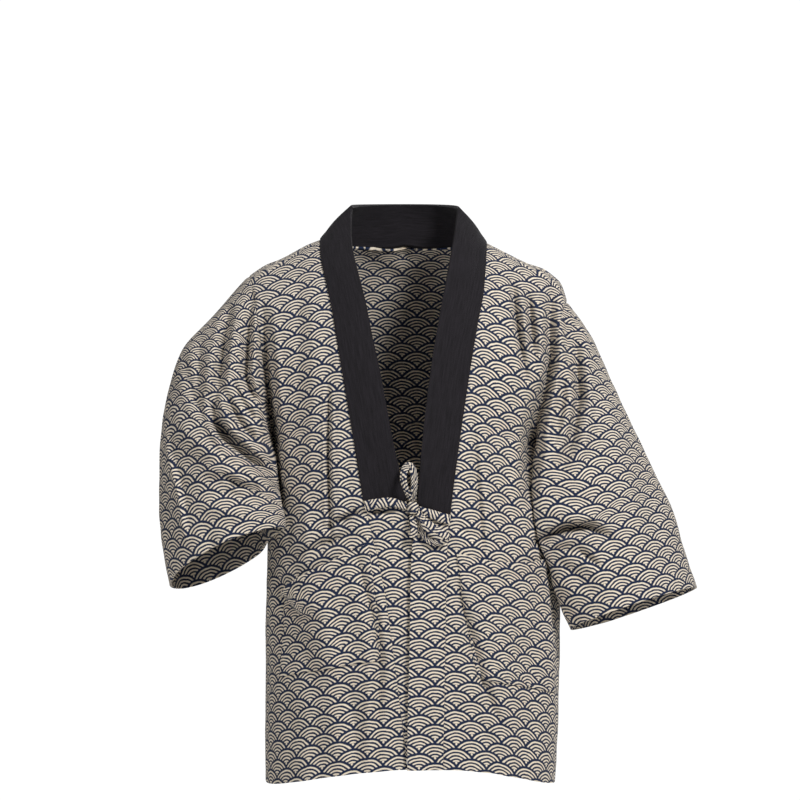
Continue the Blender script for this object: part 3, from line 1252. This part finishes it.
def sleeve_coordinates(name, grid):
    """Print coordinates of a sleeve: a front half and a back half, which meet along the far edge."""
    side = name.split("_")[1]
    half = grid.shape[1] // 2
    shift = PRINT_SHIFT[name]
    front = flat_half(grid[:, :half + 1], side)
    back = flat_half(grid[:, half:][:, ::-1], side)
    halves = []
    for start, (across, up) in ((0, front), (half, (back[0][:, ::-1], back[1][:, ::-1]))):
        whole = np.zeros((2,) + grid.shape[:2])
        whole[:, :, start:start + across.shape[1]] = across + shift[0], up + shift[1]
        halves.append((start, whole[0], whole[1]))
    return halves


print("rows of fans slope by ring:", ROW_SLOPES)

# %% [markdown]
# ### Sewing the panels together
# Every piece rides on the coat's one body, takes the place of its plain wall, and states the flat size
# that it was cut to. The back's neck edge ends a little lower, inside the collar, where a real one is
# caught in the seam.


# %% Declare a piece
def add_piece(piece, node):
    """Says what a finished sheet stands for and what it was cut from."""
    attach(piece, "root")
    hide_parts(node)


def grid_area(grid):
    """A sheet's area in square metres."""
    across = np.diff(grid, axis=1)[:-1]
    along = np.diff(grid, axis=0)[:, :-1]
    return float(np.linalg.norm(np.cross(across, along), axis=2).sum()) * 1e-6


def tuck_neck(grid):
    """Ends the back a little lower where the collar's lap covers it."""
    seam = GRIDS["collar"][:, 0]
    down = np.linalg.norm(np.diff(grid, axis=0), axis=2)[::-1].cumsum(axis=0)[::-1]
    down = np.concatenate([down, np.zeros((1, grid.shape[1]))])
    sewn = np.array([np.linalg.norm(seam - point, axis=1).min() < 4 for point in grid[-1]])
    lower = (NECK_LAP - 1) * sewn * ease(grid[-1, :, 1] / 30) * np.clip(1 - down / 25, 0, 1)
    print("back's neck edge ends lower under the collar by", round(float(lower.max()), 1), "mm")
    return grid - lower[..., None] * [0, 0, 1]


# %% Make the panels
# Flat sizes of the cut, in metres: width and length. A sleeve's width is measured all round.
FLATS = {
    "front_right": (0.34, 0.74), "front_left": (0.30, 0.74), "back": (0.60, 0.74),
    "sleeve_right": (0.56, 0.34), "sleeve_left": (0.56, 0.40),
    "band_right": (0.055, 0.345), "band_left": (0.055, 0.335),
}
for name, flat in FLATS.items():
    grid = tuck_neck(GRIDS[name]) if name == "back" else GRIDS[name]
    is_sleeve = name.startswith("sleeve")
    printed = mix(SMOOTH[name], grid, PRINT_FOLLOWS)
    coordinates = sleeve_coordinates(name, printed) if is_sleeve else hanging_coordinates(name, printed)
    edges = ("low", "high") if is_sleeve else ("first", "last", "low", "high")
    inside = inside_sleeve(grid) if is_sleeve else inside_body(grid)
    piece = sheet_object(f"{name}_cloth", draw_back(grid, edges=edges), coordinates, CLOTH, PRINT, inside,
                         closed=is_sleeve)
    add_piece(piece, name)

# %% [markdown]
# ## The collar
# The collar is one strip, folded along its length over the raw edges of the fronts and the back. It is
# made as one thicker sheet with a rounder edge, because its fold is soft and its inner half is hidden.

# %% Make the collar
grid = lap_collar(GRIDS["collar"])
collar = sheet_object("collar_cloth", draw_back(grid), cloth_coordinates(grid), COLLAR_CLOTH, BLACK_CLOTH,
                      grid * [0, 0, 1], bevel=1.6)
add_piece(collar, "collar")
print("collar measures", round(grid_area(grid), 3), "m2")

# %% [markdown]
# ## Patch pockets
# A patch pocket is a square of the same cloth, turned in and sewn down on three sides. Its points are
# points of the front below it, moved out by the cloth's thickness, so it follows every fold of the front.
# The right one has been stretched open by a hand: its mouth sags towards the side and stands away.

# %% Pockets
POCKET_CLOTH = 2.6
POCKET_COLUMNS = 54
POCKET_ROWS = 56
POCKET_SIZE = 150
POCKET_HEM = 15
HEM_LIP = 1.4
STITCH_DEEP = 0.8
SEWN_DEEP = 1.2
# Shares of the front's width at the foot and the mouth, how far the mouth sags across it and how far it
# gapes in mm, and where the pocket's print starts
POCKETS = {
    "right": {"foot": (0.08, 0.67), "mouth": (0.03, 0.66), "gape": 17, "shift": (14, 5),
              "sag": [(0, 0), (0.45, 17), (0.75, 35), (0.9, 37), (1, 33)]},
    "left": {"foot": (0.18, 0.76), "mouth": (0.05, 0.66), "gape": 1.5, "shift": (-10, 3),
             "sag": [(0, 0), (0.5, 2), (1, 0)]},
}


def between(values, j, i, up, over):
    """A value inside one square of a grid, from its four corners."""
    low = mix(values[j, i], values[j, i + 1], over)
    high = mix(values[j + 1, i], values[j + 1, i + 1], over)
    return mix(low, high, up)


def pocket_grid(side):
    """A patch pocket, laid on the front below it."""
    front = GRIDS[f"front_{side}"]
    normals = grid_normals(front, inside_body(front))
    size = POCKETS[side]
    foot, mouth = PANEL_ROWS[0], PANEL_ROWS[0] + PANEL_ROWS[1]
    row_height = POCKET_SIZE / PANEL_ROWS[1]
    grid = np.zeros((POCKET_ROWS + 1, POCKET_COLUMNS + 1, 3))
    ups = edge_steps(POCKET_ROWS, POCKET_SIZE)
    shares = edge_steps(POCKET_COLUMNS, POCKET_SIZE)
    lengths = edge_distance(front, 1, "start")
    for k, up in enumerate(ups):
        for m, t in enumerate(shares):
            opened = math.sin(math.pi * t**2)
            row = foot + (mouth - foot) * up - float(read_curve(size["sag"], t)) / row_height * up**3
            first = mix(size["foot"][0], size["mouth"][0], up)
            last = mix(size["foot"][1], size["mouth"][1], up)
            low = int(min(max(row, 0), len(front) - 2))
            share = mix(first, last, t) * lengths[low][-1]
            place = float(np.interp(share, lengths[low], np.arange(front.shape[1])))
            i = int(min(place, front.shape[1] - 2))
            point = between(front, low, i, row - low, place - i)
            normal = between(normals, low, i, row - low, place - i)
            normal = normal / np.linalg.norm(normal)
            lift = 0.5 + POCKET_CLOTH + size["gape"] * opened * up**3
            sewn_edge = min(t, 1 - t, up) * POCKET_SIZE
            lift -= SEWN_DEEP * math.exp(-((sewn_edge / 2) ** 2))
            below_mouth = (1 - up) * POCKET_SIZE
            lift += HEM_LIP * float(ease((POCKET_HEM - below_mouth) / 4))
            lift -= STITCH_DEEP * math.exp(-(((below_mouth - POCKET_HEM - 1) / 2) ** 2))
            grid[k, m] = point + normal * lift
    return grid


for side in SIDES:
    grid = pocket_grid(side)
    coordinates = cloth_coordinates(grid, OUT[side], POCKETS[side]["shift"])
    piece = sheet_object(f"pocket_{side}_cloth", grid, coordinates, POCKET_CLOTH, PRINT, inside_body(grid))
    add_piece(piece, f"pocket_{side}")
    print(f"pocket_{side} measures", round(grid_area(grid), 4), "m2")

# %% [markdown]
# ## Ties and bow
# Two narrow tubes of the print, pressed flat, come from under the collar's ends and are tied once in a
# bow. Each length is a grid on a curve: across it the strip is slightly cupped and gathered towards the
# knot, as a tie crumples where it is pulled tight. The knot is a small turned wrap of the same strip.

# %% Strips along a curve
TIE_CLOTH = 1.6
KNOT = (8.0, -346.0)
KNOT_SIZE = (7.6, 7.2, 9.2)


def front_surface(x, z):
    """y of the bands' outer face."""
    return float(body_depth(x, z, BAND_REACH, "front"))


KNOT_Y = front_surface(*KNOT) - KNOT_SIZE[1] - 0.3


def smooth_path(points, count):
    """A smooth curve through hand-placed points."""
    ks = list(range(len(points)))
    places = np.linspace(0, len(points) - 1, count)
    return np.stack([read_curve(list(zip(ks, [p[c] for p in points])), places) for c in range(3)], axis=1)


def strip_grid(points, faces, widths, gathers=0.0, cup=0.0, count=60, columns=14):
    """A strip of cloth along a curve, with its broad side towards `faces`."""
    path = smooth_path(points, count)
    facing = smooth_path(faces, count)
    ks = list(range(len(widths)))
    width = read_curve(list(zip(ks, widths)), np.linspace(0, len(widths) - 1, count))
    tangent = np.gradient(path, axis=0)
    tangent /= np.linalg.norm(tangent, axis=1, keepdims=True)
    facing = facing - tangent * np.sum(facing * tangent, axis=1, keepdims=True)
    facing /= np.linalg.norm(facing, axis=1, keepdims=True)
    sideways = np.cross(tangent, facing)
    s = np.linspace(-1, 1, columns + 1)
    ripple = gathers * np.cos(s * math.pi * 2.5 + 0.6) * (1 - 0.3 * s)
    ends = np.linspace(0, 1, count)
    tight = np.exp(-((ends / 0.22) ** 2)) + np.exp(-(((1 - ends) / 0.22) ** 2))
    rise = -cup * (s**2)[None, :] + ripple[None, :] * (0.35 + tight[:, None])
    return path[:, None, :] + sideways[:, None, :] * (s[None, :, None] * width[:, None, None] / 2) \
        + facing[:, None, :] * rise[:, :, None]


def tie_route(side):
    """A tie's places from the collar's end to the knot: x, how far off the cloth, z."""
    routes = {
        "right": [(-52, -343.5, 5), (-36, -340, 9), (-18, -338.5, 9.5), (0.6, -344, 7)],
        "left": [(55, -360, 4.4), (45, -358, 6.4), (32, -353.5, 7.4), (15, -347.5, 6)],
    }
    return [(x, front_surface(x, z) - off, z) for x, z, off in routes[side]]


def from_knot(rows):
    """Places measured from the middle of the knot."""
    return [(KNOT[0] + x, KNOT_Y + y, KNOT[1] + z) for x, y, z in rows]


print("the knot stands out to y =", round(KNOT_Y, 1))

# %% The strips of the bow
# Each row: its route, where its broad side faces, its widths, its gathers and its cup, all in mm
TIE_SHAPE = ([(0, -1, 0.25)] * 4, [13.5, 12.5, 11.5, 9], 0.5, 3.2)
STRIPS = {
    "tie_right": (tie_route("right"), *TIE_SHAPE),
    "tie_left": (tie_route("left"), *TIE_SHAPE),
    "loop_up": (
        from_knot([(-2.5, -2.5, 8.7), (-8, -9, 20), (-12.5, -11, 35), (-11, -8, 48), (-5, -3, 54),
                   (1, -1, 46), (2.5, -0.5, 32), (1, 0, 18), (1, 1, 9)]),
        [(-0.5, -1, 0), (-0.8, -1, 0.1), (-0.8, -1, 0.2), (-0.6, -0.9, 0.8), (-0.1, -0.9, 0.9),
         (0.5, -1, 0.2), (0.4, -1, 0), (0.2, -1, 0), (0.2, -1, 0)],
        [6, 8, 10, 11, 11, 10, 9, 8, 6], 0.7, 1.4),
    "loop_side": (
        from_knot([(6, -4.5, -4), (14, -9, -13), (24, -11, -22), (36, -9, -30), (44, -6, -36.5),
                   (38, -3.5, -43), (26, -3, -43.5), (15, -3, -36), (5, -0.5, -15)]),
        [(0.3, -1, 0.5), (0.3, -1, 0.6), (0.4, -1, 0.5), (0.6, -0.9, 0.3), (0.9, -0.8, -0.2),
         (0.3, -0.8, -0.8), (-0.2, -1, -0.3), (-0.1, -1, -0.1), (0, -1, 0)],
        [6, 8, 10, 10, 9, 9, 8, 7, 5], 0.6, 1.3),
    "tail": (
        from_knot([(-1, -1, -8.9), (1.5, -5, -19), (2.5, -6, -28), (1, -4.5, -37)]),
        [(0.2, -1, 0), (0.5, -1, 0.1), (0.6, -1, 0.1), (0.5, -1, 0.1)], [7, 9, 10, 10], 0.7, 1.6),
}
for name, (route, faces, widths, gathers, cup) in STRIPS.items():
    grid = strip_grid(route, faces, widths, gathers, cup)
    facing = smooth_path(faces, len(grid))
    inside = grid - facing[:, None, :] * 10
    coordinates = cloth_coordinates(grid, shift=(6, 3))
    piece = sheet_object(f"{name}_cloth", grid, coordinates, TIE_CLOTH, PRINT, inside, bevel=0.4)
    add_piece(piece, name)
    print(name, "measures", round(grid_area(grid) * 1e4, 1), "cm2")

# %% [markdown]
# The knot is the tie wrapped round itself. A sphere is pressed to the knot's size, and grooves are sunk
# where one turn of the strip lies over the next.

# %% Knot
knot_mesh = bpy.data.meshes.new("knot_cloth")
knot_net = bmesh.new()
bmesh.ops.create_uvsphere(knot_net, u_segments=64, v_segments=40, radius=1)
knot_uv = knot_net.loops.layers.uv.new("cloth")
knot_middle = (KNOT[0], KNOT_Y, KNOT[1])
for vertex in knot_net.verts:
    x, y, z = vertex.co
    wrap = math.cos(5.5 * (x * 0.8 + z * 0.6)) * 0.05 + math.cos(9 * (z - 0.4 * x)) * 0.03
    groove = -0.12 * math.exp(-(((x * 0.9 - z * 0.5 + 0.15) / 0.12) ** 2))
    scale = 0.93 + wrap + groove
    vertex.co = [(m + c * half * scale) * MM for m, c, half in zip(knot_middle, (x, y, z), KNOT_SIZE)]
for face in knot_net.faces:
    face.smooth = True
    for loop in face.loops:
        x, y, z = loop.vert.co
        loop[knot_uv].uv = (x * 0.8 + z * 0.5, z - x * 0.4)
knot_net.to_mesh(knot_mesh)
knot_net.free()
knot_mesh.materials.append(PRINT)
knot = bpy.data.objects.new("knot_cloth", knot_mesh)
bpy.context.scene.collection.objects.link(knot)
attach(knot, "root")
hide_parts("knot")
print("knot:", len(knot_mesh.polygons), "faces")

# %% [markdown]
# ## Floor and light
# A plain pale floor lies well below the coat, as under someone standing. The light is that of a bright
# studio: a soft key lamp high in front, on the picture's right, which models the folds, a weaker one on
# the left, one behind for the edges, and a pale sky that fills the shadows.

# %% Floor
FLOOR_Z = -1.42
SKY_LIGHT = 0.2
bpy.context.scene.view_settings.view_transform = "Standard"
floor_mesh = bpy.data.meshes.new("floor")
floor_net = bmesh.new()
bmesh.ops.create_circle(floor_net, cap_ends=True, segments=96, radius=3.2)
bmesh.ops.translate(floor_net, verts=floor_net.verts, vec=(0, 0, FLOOR_Z))
floor_net.to_mesh(floor_mesh)
floor_net.free()
floor = bpy.data.objects.new("floor", floor_mesh)
bpy.context.scene.collection.objects.link(floor)
# Painted board, matt: nothing on it draws the eye from the coat
floor_material, floor_tree = new_material("matt_painted_board")
floor_colour = linear("#F4F3F1")
floor_shader = add(floor_tree, "ShaderNodeBsdfPrincipled", {"Base Color": floor_colour, "Roughness": 0.85})
add(floor_tree, "ShaderNodeOutputMaterial", (floor_shader,))
floor_mesh.materials.append(floor_material)
print("floor at", FLOOR_Z, "m")

# %% World and lamps
world = bpy.data.worlds.new("studio")
world.use_nodes = True
world.node_tree.nodes.clear()
seen = add(world.node_tree, "ShaderNodeLightPath").outputs["Is Camera Ray"]
bright = add(world.node_tree, MATH, (seen, 1.05 - SKY_LIGHT, SKY_LIGHT), operation="MULTIPLY_ADD")
sky = add(world.node_tree, "ShaderNodeBackground", {"Color": linear("#FFFFFF"), "Strength": bright})
add(world.node_tree, "ShaderNodeOutputWorld", (sky,))
bpy.context.scene.world = world


def lamp(name, place, target, size, watts):
    """A soft square lamp that looks at a place."""
    data = bpy.data.lights.new(name, "AREA")
    data.shape = "SQUARE"
    data.size = size
    data.energy = watts
    light = bpy.data.objects.new(name, data)
    light.location = place
    toward = type(light.location)(target) - light.location
    light.rotation_euler = toward.to_track_quat("-Z", "Y").to_euler()
    bpy.context.scene.collection.objects.link(light)


lamp("key", (1.4, -2.2, 1.6), (0, 0, -0.2), 0.7, 84)
lamp("fill", (-1.9, -1.9, 0.9), (0, 0, -0.2), 0.9, 19)
lamp("back", (0.8, 2.3, 1.4), (0, 0, -0.2), 1.6, 40)
